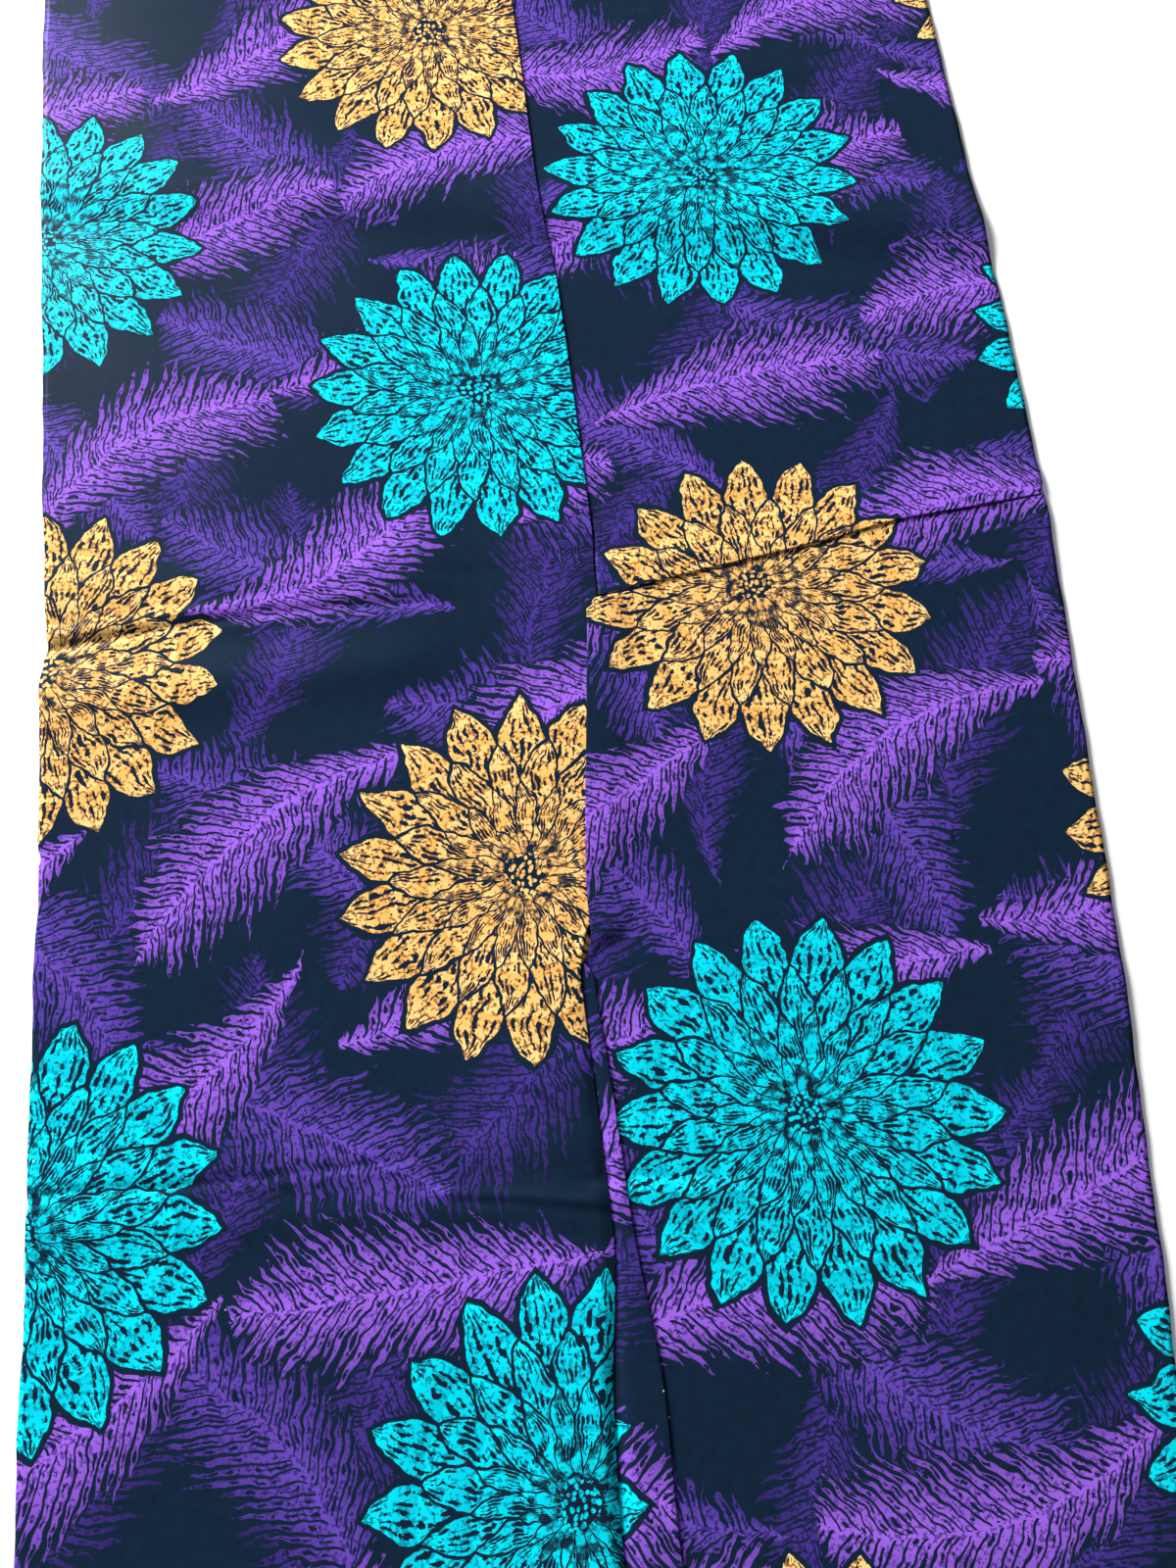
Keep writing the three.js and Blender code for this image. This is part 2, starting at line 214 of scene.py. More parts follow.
# %% Creases
# Each runs from (x0, y0) to (x1, y1), bowed sideways by bow, with its half width and its height.
CREASES = table(
    "x0 y0 x1 y1 bow half rise",
    (-650, 5, -60, 28, 22, 4.0, -1.9),  # the sharp line in the left valley
    (-640, 14, -334, 40, 2, 3.2, -1.0),
    (-660, 29, -264, 52, 4, 5.2, 2.6),
    (-420, 52, -90, 43, 4, 4.0, 0.9),
    (-400, 86, -280, 48, 3, 3.4, -0.5),
    (-240, 84, 0, 55, -4, 6.0, -0.7),
    (-304, 100, -184, 84, 3, 3.4, -0.45),
    (-214, 70, -124, 60, -2, 3.0, 0.35),
    (-62, 468, 8, 459, 2, 2.6, -0.4),  # a few small wrinkles near the pleat
    (-54, 453, 28, 441, 2, 2.6, 0.5),
    (-34, 438, 30, 428, -2, 2.4, -0.5),
    (-14, 423, 32, 417, 1, 2.2, 0.35),
    (-564, -4, -419, 6, -3, 6.0, 1.0),
    (-464, 20, -174, 14, 2, 9.0, -0.5),
    (-394, 121, -209, 108, 3, 6.0, 0.5),
    (-294, 92, -64, 42, 4, 7.0, 0.6),
    (-114, 60, 26, 30, 3, 7.0, -0.5),
    (-574, -484, -389, -481, 6, 3.2, -1.8),  # the lower press line, and the soft fold from it to the pleat
    (-459, -481, -150, -483, -2, 3.0, -1.8),
    (-480, -491, -140, -493, 2, 5.0, 1.0),
    (-186, -511, 0, -545, 3, 3.4, 1.7),
    (-170, -520, 0, -554, 3, 3.6, -1.0),
    (-112, -477, -56, -483, 1, 1.6, -0.3),
    (-59, -517, 96, -533, 2, 3.6, -1.6),
    (-59, -530, 116, -547, 2, 4.4, 1.1),
    (76, -484, 371, -524, 3, 3.0, 0.35),
    (11, -42, 206, -84, -4, 3.2, 0.5),
    (34, 68, 156, 76, 2, 4.5, -0.9),
    (160, 82, 262, 106, 2, 2.2, -0.45),  # fine ones above and below the tuck
    (190, 72, 312, 76, 3, 5.0, 0.6),
    (-20, 60, 270, 53, -2, 6.0, 1.0),
    (-10, 73, 200, 65, 0, 3.0, -0.6),
    (236, 29, 400, 10, 2, 2.4, -0.35),
    (236, 15, 400, -4, -2, 2.6, 0.35),
    (136, 92, 406, 112, -3, 8.0, 0.4),
    (12, 900, 2, 660, -3, 3.6, -0.9),  # creases that run along the cloth, beside the pleat
    (-2, 120, 14, -20, -3, 4.5, -0.9),
    (-24, 60, -16, -120, 4, 6.0, 0.5),
    (34, 395, 36, 235, 0, 1.8, -0.35),
    (-64, -560, -78, -915, 3, 7.0, -0.5),
    (-6, -715, -9, -925, 0, 1.8, -0.4),
    (-534, 620, -294, 560, 6, 12.0, 0.7),  # wide, shallow ones all over
    (156, 700, 426, 640, -8, 14.0, 0.6),
    (-414, 330, -174, 300, 10, 16.0, 0.5),
    (126, 250, 386, 215, -8, 15.0, -0.5),
    (-474, -250, -254, -300, 9, 15.0, 0.5),
    (186, -240, 476, -300, 12, 16.0, 0.5),
    (-454, -660, -244, -700, -8, 14.0, -0.5),
    (86, -690, 336, -760, 9, 14.0, 0.5),
)


UNEVEN = 0.2  # share of its height by which a crease swells and sinks along its length
SWELLS, NEXT_SWELL = 9.0, 2.1  # radians of that over its length, and from one crease to the next
FULL_FROM, FULL_TO = 0.22, 0.72  # shares of its length between which it doesn't fade


def creases(x, y):
    """Height of the creases: rise times a bell across the line, times 1 - UNEVEN + UNEVEN times a sine along
    it, faded at its ends. The line bows by 4t(1 - t) times bow, t being the share of the way along it."""
    height = 0
    for number, (x0, y0, x1, y1, bow, half, rise) in enumerate(zip(*CREASES.values())):
        length = np.hypot(x1 - x0, y1 - y0)
        ux, uy = (x1 - x0) / length, (y1 - y0) / length
        t = ((x - x0) * ux + (y - y0) * uy) / length
        off = (y - y0) * ux - (x - x0) * uy - bow * 4 * t * (1 - t)
        uneven = 1 - UNEVEN + UNEVEN * np.sin(SWELLS * t + NEXT_SWELL * number)
        ends = smooth(t, 0, FULL_FROM) * (1 - smooth(t, FULL_TO, 1))
        height = height + rise * uneven * ends * bell(off, half)
    return height


print(len(CREASES["rise"]), "creases, from", CREASES["rise"].min(), "to", CREASES["rise"].max(), "mm")


# %% Long waves
WAVES = 26
WAVE_HEIGHT = 0.15
SHORTEST_WAVE, LONGEST_WAVE = 70.0, 260.0
draws = np.random.default_rng(11)
wave_turn = draws.uniform(0, pi, WAVES)
wave_length = draws.uniform(SHORTEST_WAVE, LONGEST_WAVE, WAVES)
wave_phase = draws.uniform(0, tau, WAVES)


def waves(x, y):
    """A sum of sines with drawn directions, lengths and phases, the longer ones higher."""
    height = 0
    for turn, length, phase in zip(wave_turn, wave_length, wave_phase):
        along_wave = x * np.cos(turn) + y * np.sin(turn)
        height = height + length / LONGEST_WAVE * np.sin(tau * along_wave / length + phase)
    return height * WAVE_HEIGHT


print(WAVES, "waves,", round(wave_length.min()), "to", round(wave_length.max()), "mm long")


# %% The groove beside the second ply, and the swell
GROOVE_DEPTH, GROOVE_HALF = 1.9, 4.2
SOFT_FOLD = (-420.0, -330.0)  # up to the first y the fold rolls over softly, from the second it is pressed
OPEN_FOLD = (-680.0, -580.0)  # up to the first y the groove gapes, from the second it does not
DEEPEST = -2.3  # any deeper and the cloth would lie on the floor


def soft_fold(y):
    """1 where the left stretch's fold rolls over softly, 0 where it is pressed."""
    return 1 - smooth(y, *SOFT_FOLD)


def open_fold(y):
    """1 where the groove beside the second ply gapes, 0 where it is closed."""
    return 1 - smooth(y, *OPEN_FOLD)


def swell(x, y):
    """What lifts the cloth, the same for all its plies, so that they don't cut through each other: the sum of
    the shop folds, the creases, the waves and the groove, a bell across the fold's edge."""
    groove = -GROOVE_DEPTH * soft_fold(y) * bell(x - line("fold", y), GROOVE_HALF)
    return np.maximum(relief(x, y) + creases(x, y) + waves(x, y) + groove, DEEPEST)


print("swell in the middle of the cloth:", round(float(swell(0.0, 0.0)), 2), "mm")


# %% [markdown]
# Plies that lie on each other are levels of one stack. A stretch starts at the level of its folded edge and
# comes down to the plain cloth a hand's breadth away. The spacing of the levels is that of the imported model,
# and the cloth itself is as thin as it really is.

# %% Levels
CLOTH = 0.4  # thickness
OFF_FLOOR = 0.05  # the cloth is kept this far above the floor, so that they don't flicker into each other
LOWEST = CLOTH / 2 + OFF_FLOOR  # the middle of a ply that lies on the floor
BETWEEN = 0.5  # least distance between the middles of two plies
PLY = 1.0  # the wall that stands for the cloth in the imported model
GAP = 0.3  # between two such walls
STEP = PLY + GAP
HIDDEN = 3.0  # height of the two lower lengths
FOLD_RADIUS = STEP / 2
FALLS_FROM, FLAT_BY = 30.0, 125.0  # distances from the fold between which the left stretch comes down
TUCK_FLAT, TUCK_RUN = 20.0, 45.0  # and from the tuck's edge, the upper right one


def tuck(column, x):
    """A column of the tuck at x."""
    return along(TUCK, "x", column, x)


def at_level(level, x, y):
    """Height of the middle of the cloth: the lower lengths, the swell, and one step for each level above the
    first."""
    return HIDDEN + swell(x, y) + GAP + PLY / 2 + (level - 1) * STEP


def left_level(x, y):
    """The fold's level near the fold, and 1 from FLAT_BY on."""
    return 1 + (line("fold_level", y) - 1) * (1 - smooth(line("fold", y) - x, FALLS_FROM, FLAT_BY))


def right_level(x, y):
    """The lip's level as far as lip_flat, and 1 after lip_run more."""
    flat = line("lip_flat", y)
    down = smooth(x - line("lip", y), flat, flat + line("lip_run", y))
    return 1 + (line("lip_level", y) - 1) * (1 - down)


def upper_level(x, y):
    """The tuck's level near its edge, and 1 from TUCK_RUN on."""
    return 1 + (tuck("level", x) - 1) * (1 - smooth(y - tuck("y", x), TUCK_FLAT, TUCK_RUN))


print("levels lie", STEP, "mm apart, and the cloth is", CLOTH, "mm thick")

# %% [markdown]
# Every sheet is a grid of points: rows along the cloth, columns across it. It goes into the mesh as whole
# arrays, with a UV map that holds each point's place on the flat cloth in metres, so the print follows the
# cloth over its folds as real print does. A Solidify modifier then gives the sheet its thickness.

# %% Grids to meshes
def sheet_mesh(name, points, flat):
    """points is rows x columns x 3, flat is rows x columns x 2, in mm. Each square of the grid is a face."""
    rows, wide = points.shape[:2]
    k = np.arange(rows * wide).reshape(rows, wide)
    faces = np.stack([k[:-1, :-1], k[:-1, 1:], k[1:, 1:], k[1:, :-1]], axis=-1).reshape(-1, 4)
    mesh = bpy.data.meshes.new(name)
    mesh.from_pydata((points.reshape(-1, 3) * MM).tolist(), [], faces.tolist())
    uv = mesh.uv_layers.new(name="flat_cloth")
    uv.data.foreach_set("uv", (flat.reshape(-1, 2)[faces.ravel()] * MM).ravel())
    mesh.polygons.foreach_set("use_smooth", np.ones(len(faces), bool))
    mesh.update()
    piece = bpy.data.objects.new(name, mesh)
    bpy.context.scene.collection.objects.link(piece)
    wall = piece.modifiers.new("thickness", "SOLIDIFY")
    wall.thickness = CLOTH * MM
    wall.offset = 0
    print(name, rows, "x", wide, "points,", 4 * len(faces), "triangles without its rim")
    return piece


# %% The folded edge in section
ROUND_POINTS = 9  # points round the half circle
STRAIGHT_POINTS = 6  # and along the ply turned under
SPREAD = 1.5  # above 1, those lie closer together near the edge


def turned_edge(turn_back):
    """The section of a folded edge, from the top ply round to the end of the ply turned under: how far in
    from the edge, and how far down, as a half circle and then a straight ply that is turn_back long."""
    angles = np.radians(np.linspace(90, -90, ROUND_POINTS))
    inward = CLOTH / 2 + FOLD_RADIUS * (1 - np.cos(angles))
    down = FOLD_RADIUS * (np.sin(angles) - 1)
    straight = np.linspace(0, 1, STRAIGHT_POINTS + 1)[1:] ** SPREAD * turn_back
    return np.r_[inward, inward[-1] + straight], np.r_[down, np.full(STRAIGHT_POINTS, -2 * FOLD_RADIUS)]


def arc_length(inward, down):
    """Length along a section, from its first point: the sum of the straight steps."""
    return np.r_[0, np.cumsum(np.hypot(np.diff(inward), np.diff(down)))]


print("a folded edge is", 2 * FOLD_RADIUS + CLOTH, "mm thick")

# %% [markdown]
# Rows that run dead straight across would cut the slanting creases into stair steps. So the rows lean with
# the shop folds: each row that follows one has its ends, and the rows between them share out the lean.

# %% Rows that follow the shop folds
FOLLOWED = [5, 3, 2, 0]  # places in the table of shop folds, from the near end to the far one
LEAN = {
    "left": np.r_[NEAR, SHOP_FOLDS["y_left"][FOLLOWED], FAR],
    "right": np.r_[NEAR, SHOP_FOLDS["y_right"][FOLLOWED], FAR],
}
FINE_STEPS = 4000  # places at which the spacing is worked out
CROWDING, CROWD_REACH = 3.0, 30.0  # rows added for each row at a sharp line, and how far from it
VALLEY, PRESS_LINE = 38.0, -484.0  # y at the left selvedge of the two sharp lines
SETTLING_ROUNDS = 6


def leaning_rows(low, high, count, *sharp_lines):
    """count values of y at the left selvedge, spaced more closely near the sharp lines, and the matching ones
    at the right selvedge. The spacing is even in the running total of 1 plus a hump at each line."""
    fine = np.linspace(low, high, FINE_STEPS)
    weight = 1 + sum(CROWDING * np.exp(-(((fine - place) / CROWD_REACH) ** 2)) for place in sharp_lines)
    total = np.r_[0, np.cumsum((weight[1:] + weight[:-1]) / 2)]
    left = np.interp(np.linspace(0, total[-1], count), total, fine)
    return left, along(LEAN, "left", "right", left)


def lean(rows, x):
    """y of every point at x: a straight line between the row's two ends."""
    return slanting(rows[0][:, None], rows[1][:, None], x)


def settle(rows_at, columns_at, x):
    """Rows that depend on x and columns that depend on y, worked out in turn until they agree."""
    for _ in range(SETTLING_ROUNDS):
        y = rows_at(x)
        x = columns_at(y)
    return x, y


print("the far shop fold leans from y =", LEAN["left"][-2], "to", LEAN["right"][-2], "mm")

# %% [markdown]
# The left stretch runs from the left selvedge to the pleat's folded edge, turns round it and goes back under
# for a few centimetres. Near the lower end its edge is not pressed but rolls over softly, so the cloth sinks
# towards it there. The far end of each stretch turns down over the lengths below.

# %% The selvedges
EDGE_WAVES = table("height length", (0.7, 47), (0.45, 19), (0.25, 7.3))  # length for each radian of a wave
# y: where a selvedge stands out, or in where that is negative. out: how far. reach: over what distance.
LEFT_MARKS = table(
    "y out reach",
    (-6, -2.5, 16),
    (33, 2.2, 8),
    (-180, 2.6, 5),
    (-484, 1.8, 4),
    (-447, -0.6, 9),
)
RIGHT_MARKS = table("y out reach", (84, -2.0, 5))  # a nick where the tuck runs out


def wavy(y, phase):
    """A selvedge is never straight: the sum of three sines, from slow to quick."""
    rows = enumerate(zip(*EDGE_WAVES.values()), start=1)
    return sum(height * np.sin(y / length + step * phase) for step, (height, length) in rows)


def marks(rows, y):
    """The sum of the small notches and bulges, each a hump that falls off over its reach."""
    return sum(out * np.exp(-(((y - place) / reach) ** 2)) for place, out, reach in zip(*rows.values()))


def left_selvedge(y):
    """The left line, with its waviness and its marks."""
    return line("left", y) + wavy(y, phase=0.4) + marks(LEFT_MARKS, y)


def right_selvedge(y):
    """The right line, with its waviness and its mark."""
    return line("right", y) + wavy(y, phase=2.3) + marks(RIGHT_MARKS, y)


print("the left selvedge at the near end:", round(float(left_selvedge(NEAR)), 1), "mm")

# %% The far end
FAR_TURN = 9.0  # how far the ply turned down there goes back under
FAR_PRESSED = 0.5  # share of a fold's height, so that the plies turned here stay clear of each other


def far_end(points, flat):
    """Adds rows beyond the last one, which turn down over the far end and go back under it."""
    inward, down = turned_edge(FAR_TURN)
    down = down * FAR_PRESSED
    last, last_flat = points[-1], flat[-1]
    turned = [last + np.array([0, FOLD_RADIUS + CLOTH / 2 - i, d]) for i, d in zip(inward[1:], down[1:])]
    turned_flat = [last_flat + np.array([0, a]) for a in arc_length(inward, down)[1:]]
    return np.concatenate([points, turned]), np.concatenate([flat, turned_flat])


# %% The left stretch
ROLL_DEPTH, ROLL_WIDTH = 1.0, 12.0  # how far the soft fold's edge sinks, and over what distance from it
OPEN_ROLL = 2.4  # how much further where the groove gapes
LEFT_ROWS, LEFT_SPANS = 440, 70
LEFT_TURN = 45.0  # how far the ply turned under goes back
NEAR_FOLD = np.array([125, 110, 96, 84, 74, 65, 57, 50, 44, 38, 33, 28, 24, 20, 16, 13, 10, 7.5, 5, 3, 1.6])


def left_stretch():
    """Across: even spans from the selvedge, then set distances from the fold, then the folded edge. Along:
    rows that lean with the shop folds. Near the soft fold the cloth sinks by the square of how near it is."""
    rows = leaning_rows(NEAR, FAR, LEFT_ROWS, VALLEY, PRESS_LINE)
    spans = np.arange(LEFT_SPANS) / LEFT_SPANS
    inward, down = turned_edge(LEFT_TURN)
    from_fold = np.r_[NEAR_FOLD, inward]
    near = LEFT_SPANS  # the first column at a set distance
    turned = near + len(NEAR_FOLD)  # the first column of the folded edge

    def columns(y):
        edge, selvedge = line("fold", y), left_selvedge(y)
        even = mix(selvedge[:, :near], edge[:, :near] - FLAT_BY, spans)
        return np.hstack([even, edge[:, near:] - from_fold])

    start = np.tile(np.r_[mix(-HALF_WIDTH, -FLAT_BY, spans), -from_fold], (LEFT_ROWS, 1))
    x, y = settle(lambda x: lean(rows, x), columns, start)
    in_from_edge = np.maximum(line("fold", y) - x, 0)
    depth = ROLL_DEPTH * soft_fold(y) + OPEN_ROLL * open_fold(y)
    roll = depth * np.clip(1 - in_from_edge / ROLL_WIDTH, 0, 1) ** 2
    z = at_level(left_level(x, y), x, y) - roll
    z[:, turned:] += down
    across = x - left_selvedge(y)
    before = across[:, turned - 1 : turned] + NEAR_FOLD[-1] - inward[0]
    across[:, turned:] = before + arc_length(inward, down)
    points, flat = far_end(np.stack([x, y, z], -1), np.stack([across, y], -1))
    return sheet_mesh("left_stretch", points, flat)


left_piece = left_stretch()

# %% [markdown]
# The second ply stands out of the pleat in the lower third: a narrow strip between the rolled edge of the
# left stretch and its own folded edge. It is a stretch of the same cloth, further along its width, so the
# print jumps where one ply meets the next.

# %% The second ply
PLY_LEVEL = 3.0
PLY_ROWS = 160
PLY_SHARES = np.r_[np.linspace(0, 0.8, 22), 0.85, 0.9, 0.94, 0.97]  # points across it, as shares of its width
PLY_SLIPS_UNDER = (-350.0, -320.0)  # y from which, and by which, its edge has slipped under the left stretch
SLIP = 16.0
PLY_THINS = (-372.0, -350.0)  # and where its folded edge is pressed thinner
PRESSED = 0.36  # share of the full radius of the fold
PLY_BEHIND = 45.0  # how far it goes on under the left stretch
PLY_TURN = 8.0  # how far the ply turned under its edge goes back
BEFORE_EDGE = 2.0  # how far before its edge its width is taken to end
LEVELS_BELOW = 2.0  # it lies this far below the left stretch while it is under it
FREE_LEVELS, FREE_BY = 10.0, 4.0  # more levels than there are, added over this distance beyond the fold
PLY_SINKS, SINK_BESIDE, SINK_HALF = 2.9, 1.5, 6.2  # how far it sinks beside the fold, where, its half width
FIRST_PLEAT = 120.0  # width of cloth folded away between the left stretch and this ply


def pleat_stretch():
    """Across: from under the left stretch to the ply's edge, round it and back under. Along: even rows. It
    sinks beside the fold by a bell."""
    y = np.linspace(NEAR, PLY_SLIPS_UNDER[1], PLY_ROWS)[:, None]
    turned = len(PLY_SHARES)  # the first column of the folded edge
    inward, down = turned_edge(PLY_TURN)
    edge, fold = line("ply", y) - SLIP * smooth(y, *PLY_SLIPS_UNDER), line("fold", y)
    x = np.hstack([mix(fold - PLY_BEHIND, edge - BEFORE_EDGE, PLY_SHARES), edge - inward])
    y = np.repeat(y, x.shape[1], axis=1)
    below = left_level(x, y) - LEVELS_BELOW + FREE_LEVELS * smooth(x - fold, 0, FREE_BY)
    z = at_level(np.minimum(PLY_LEVEL, below), x, y)
    z -= PLY_SINKS * open_fold(y) * bell(x - fold - SINK_BESIDE, SINK_HALF)
    z[:, turned:] += down * mix(1, PRESSED, smooth(y[:, :1], *PLY_THINS))
    across = x - line("left", y) + FIRST_PLEAT
    across[:, turned:] = across[:, turned - 1 : turned] + BEFORE_EDGE + arc_length(inward, down)
    return sheet_mesh("pleat_stretch", np.stack([x, y, z], -1), np.stack([across, y], -1))


ply_piece = pleat_stretch()

# %% [markdown]
# The right stretch is made as two parts that overlap at the tuck, because one grid that folded back on itself
# twice would be hard to read. The lower one starts at its own folded edge on the left. The upper one ends in
# the tuck's folded edge and slips under the left stretch.

# %% The right stretch, below the tuck
LOWER_ROWS, LOWER_SPANS = 300, 88
LOWER_TOP = -45.0  # from here on the rows bend towards the tuck
BENDS = 45  # rows that do
LIP_TOP = 20.0  # the tuck's corner, where the lip ends
LIP_TURN = 10.0  # how far the ply turned under the lip goes back
NEAR_LIP = np.array([1.6, 3, 5, 7.5, 10, 13, 16, 20, 24, 28, 33, 38, 44, 50, 57])


def right_lower_stretch():
    """Across: the turned-under ply, the lip, set distances from it, then even spans to the selvedge. Along:
    rows that lean with the shop folds, and near the tuck bend until the last one follows it."""
    straight = leaning_rows(NEAR, LOWER_TOP, LOWER_ROWS, PRESS_LINE)
    straight = [np.r_[ends, np.full(BENDS, ends[-1])] for ends in straight]
    bend = np.r_[np.zeros(LOWER_ROWS), np.linspace(0, 1, BENDS + 1)[1:]][:, None]
    spans = np.arange(1, LOWER_SPANS + 1) / LOWER_SPANS
    inward, down = (section[::-1] for section in turned_edge(LIP_TURN))
    from_lip = np.r_[inward, NEAR_LIP]
    turned, near = len(inward), len(from_lip)  # columns of the folded edge, and with the set distances

    def rows(x):
        return mix(lean(straight, x), tuck("y", x) + tuck("under", x), bend)

    def columns(y):
        lip, selvedge = line("lip", np.minimum(y, LIP_TOP)), right_selvedge(y)
        even = mix(lip[:, near:] + NEAR_LIP[-1], selvedge[:, near:], spans)
        return np.hstack([lip[:, :near] + from_lip, even])

    start = np.tile(np.r_[from_lip, mix(NEAR_LIP[-1], HALF_WIDTH, spans)], (len(bend), 1))
    x, y = settle(rows, columns, start)
    z = at_level(right_level(x, np.minimum(y, LIP_TOP)), x, y)
    z[:, :turned] = np.maximum(z[:, :turned] + down, LOWEST + 2 * BETWEEN)
    across = WIDTH - (right_selvedge(y) - x)
    arc = arc_length(inward, down)
    across[:, :turned] = across[:, turned : turned + 1] - NEAR_LIP[0] + inward[-1] + arc - arc[-1]
    lengthwise = y - tuck("hides", x)
    return sheet_mesh("right_lower_stretch", np.stack([x, y, z], -1), np.stack([across, lengthwise], -1))


lower_piece = right_lower_stretch()

# %% The right stretch, above the tuck
BESIDE_FOLD = 1.5  # how far beside the fold it starts near the tuck
SLIPS_UNDER = (104.0, 140.0)  # y from which, and by which, it has slipped beneath the fold instead
BEHIND_FOLD = 45.0  # how far it goes on there
TUCK_TURN = 12.0  # how far the ply turned under the tuck goes back
NEAR_PLEAT = 0.16  # share of its width over which its columns lie closer together
UPPER_SHARES = np.r_[np.linspace(0, NEAR_PLEAT, 22), np.linspace(NEAR_PLEAT, 1, 86)[1:]]
ABOVE_TUCK = np.array([1.6, 3, 5, 7.5, 10, 13, 16, 20, 24, 28, 33, 38, 44, 50, 57, 65])
TO_SHOP_FOLD, TO_FAR_END = 160, 130  # rows from the tuck to the shop fold, and on to the far end


def right_upper_stretch():
    """Along: the ply turned under the tuck, its folded edge, set distances above it, then rows that
    straighten out towards the far end. Across: from beside or under the left stretch to the selvedge."""
    inward, down = (section[::-1] for section in turned_edge(TUCK_TURN))
    turned = len(inward)  # rows of the folded edge
    above = np.r_[inward, ABOVE_TUCK, np.full(TO_SHOP_FOLD + TO_FAR_END, ABOVE_TUCK[-1])][:, None]
    row = np.arange(len(above))[:, None] + 1 - turned - len(ABOVE_TUCK)
    to_shop = np.clip(row / TO_SHOP_FOLD, 0, 1)
    to_far = np.clip((row - TO_SHOP_FOLD) / TO_FAR_END, 0, 1)
    shop_left, shop_right = LEAN["left"][-2], LEAN["right"][-2]

    def rows(x):
        shop = slanting(shop_left, shop_right, x)
        return mix(mix(tuck("y", x) + above, shop, to_shop), FAR, to_far)

    def columns(y):
        beside = line("fold", y) + mix(BESIDE_FOLD, -BEHIND_FOLD, smooth(y, *SLIPS_UNDER))
        return mix(beside, right_selvedge(y), UPPER_SHARES)

    start = np.tile(mix(BESIDE_FOLD, HALF_WIDTH, UPPER_SHARES), (len(above), 1))
    x, y = settle(rows, columns, start)
    z = at_level(upper_level(x, y), x, y)
    z[:turned] += down[:, None]
    across = WIDTH - (right_selvedge(y) - x)
    lengthwise = y.copy()
    arc = arc_length(inward, down)
    lengthwise[:turned] = y[turned] - ABOVE_TUCK[0] + inward[-1] + (arc - arc[-1])[:, None]
    points, flat = far_end(np.stack([x, y, z], -1), np.stack([across, lengthwise], -1))
    return sheet_mesh("right_upper_stretch", points, flat)


upper_piece = right_upper_stretch()

# %% [markdown]
# Under the top length lie the other two. They are one sheet that starts with a cut end far away, comes back
# along the floor, folds over at the near end and runs out again under the top length. Their edges are a
# little out of line with each other, as hand-folded cloth is.

# %% The two lower lengths
UNDER_DROP = 0.95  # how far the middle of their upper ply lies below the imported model's top
UNDER_INSET = 4.0  # how far their folded end lies in from the near end
UNDER_SPANS, ROWS_OUT, ROWS_BACK = 90, 120, 260
LOWEST_IN, UPPER_IN = 1.8, 1.2  # how far each one's selvedges lie in from those above
PEEKS_OUT, PEEKS_BY = (640.0, 760.0), 2.6  # y over which the upper one comes out beside them, and how far
LIFTED_FROM, LIFTED_BY = 48.0, 74.0  # distances from the fold over which they rise to meet the pleat


def under_lengths():
    """Rows: the lowest ply from the far end to the near one, a half circle, and the upper ply back again.
    Across: even shares of the width between two wavy selvedges."""
    spans = np.linspace(0, 1, UNDER_SPANS)
    near = NEAR + UNDER_INSET
    out = np.linspace(FAR - UNDER_INSET, near, ROWS_OUT)
    back = np.linspace(near, FAR - 3 * UNDER_INSET, ROWS_BACK)

    def across_at(y, inset, phase):
        left = line("left", y) + wavy(y, phase) + inset
        right = line("right", y) + wavy(y, phase + 1) - inset
        return mix(left[:, None], right[:, None], spans)

    x_out = across_at(out, LOWEST_IN, phase=1.1)
    x_back = across_at(back, UPPER_IN - PEEKS_BY * smooth(back, *PEEKS_OUT), phase=0.4)
    y_out, y_back = (np.repeat(values[:, None], UNDER_SPANS, 1) for values in (out, back))
    lifted = smooth(line("fold", y_back) - x_back, LIFTED_FROM, LIFTED_BY)
    raised = (left_level(x_back, y_back) - 1) * STEP * lifted
    z_back = np.maximum(HIDDEN - UNDER_DROP + swell(x_back, y_back) + raised, LOWEST + BETWEEN)
    z_out = np.full_like(y_out, LOWEST)
    turn = np.radians(np.linspace(-90, 90, ROUND_POINTS))[1:-1, None]
    radius = (z_back[0] - LOWEST) / 2
    y_turn = near - radius * np.cos(turn)
    z_turn = LOWEST + radius * (1 + np.sin(turn))
    x_turn = mix(x_out[-1], x_back[0], (np.sin(turn) + 1) / 2)
    x = np.vstack([x_out, x_turn, x_back])
    y = np.vstack([y_out, y_turn, y_back])
    z = np.vstack([z_out, z_turn, z_back])
    lengthwise = np.vstack([2 * near - y_out, np.full_like(y_turn, near), y_back])
    return sheet_mesh("under_lengths", np.stack([x, y, z], -1), np.stack([x + WIDTH / 2, lengthwise], -1))


under_piece = under_lengths()

# %% [markdown]
# Colours are kept as the hex values that a printer would name, and one function turns them into the linear
# values that the shader works with. One small function adds a shader node, sets it and links it.

# %% Material helpers
def colour(code):
    """sRGB hex, such as eab04e, to linear red, green, blue and alpha."""
    channels = np.array([int(code[k : k + 2], 16) for k in (0, 2, 4)]) / 255
    linear = np.where(channels <= 0.04045, channels / 12.92, ((channels + 0.055) / 1.055) ** 2.4)
    return (*linear.tolist(), 1.0)


def node(tree, kind, *inputs, out=0, **settings):
    """Adds one shader node. inputs fill its sockets in order: a socket is linked, a value is set, and None is
    left as it is. Returns its output number out, or several for a slice."""
    made = tree.nodes.new("ShaderNode" + kind)
    for name, value in settings.items():
        setattr(made, name, value)
    for socket, value in zip(made.inputs, inputs):
        if isinstance(value, bpy.types.NodeSocket):
            tree.links.new(value, socket)
        elif value is not None:
            socket.default_value = value
    return made.outputs[out]


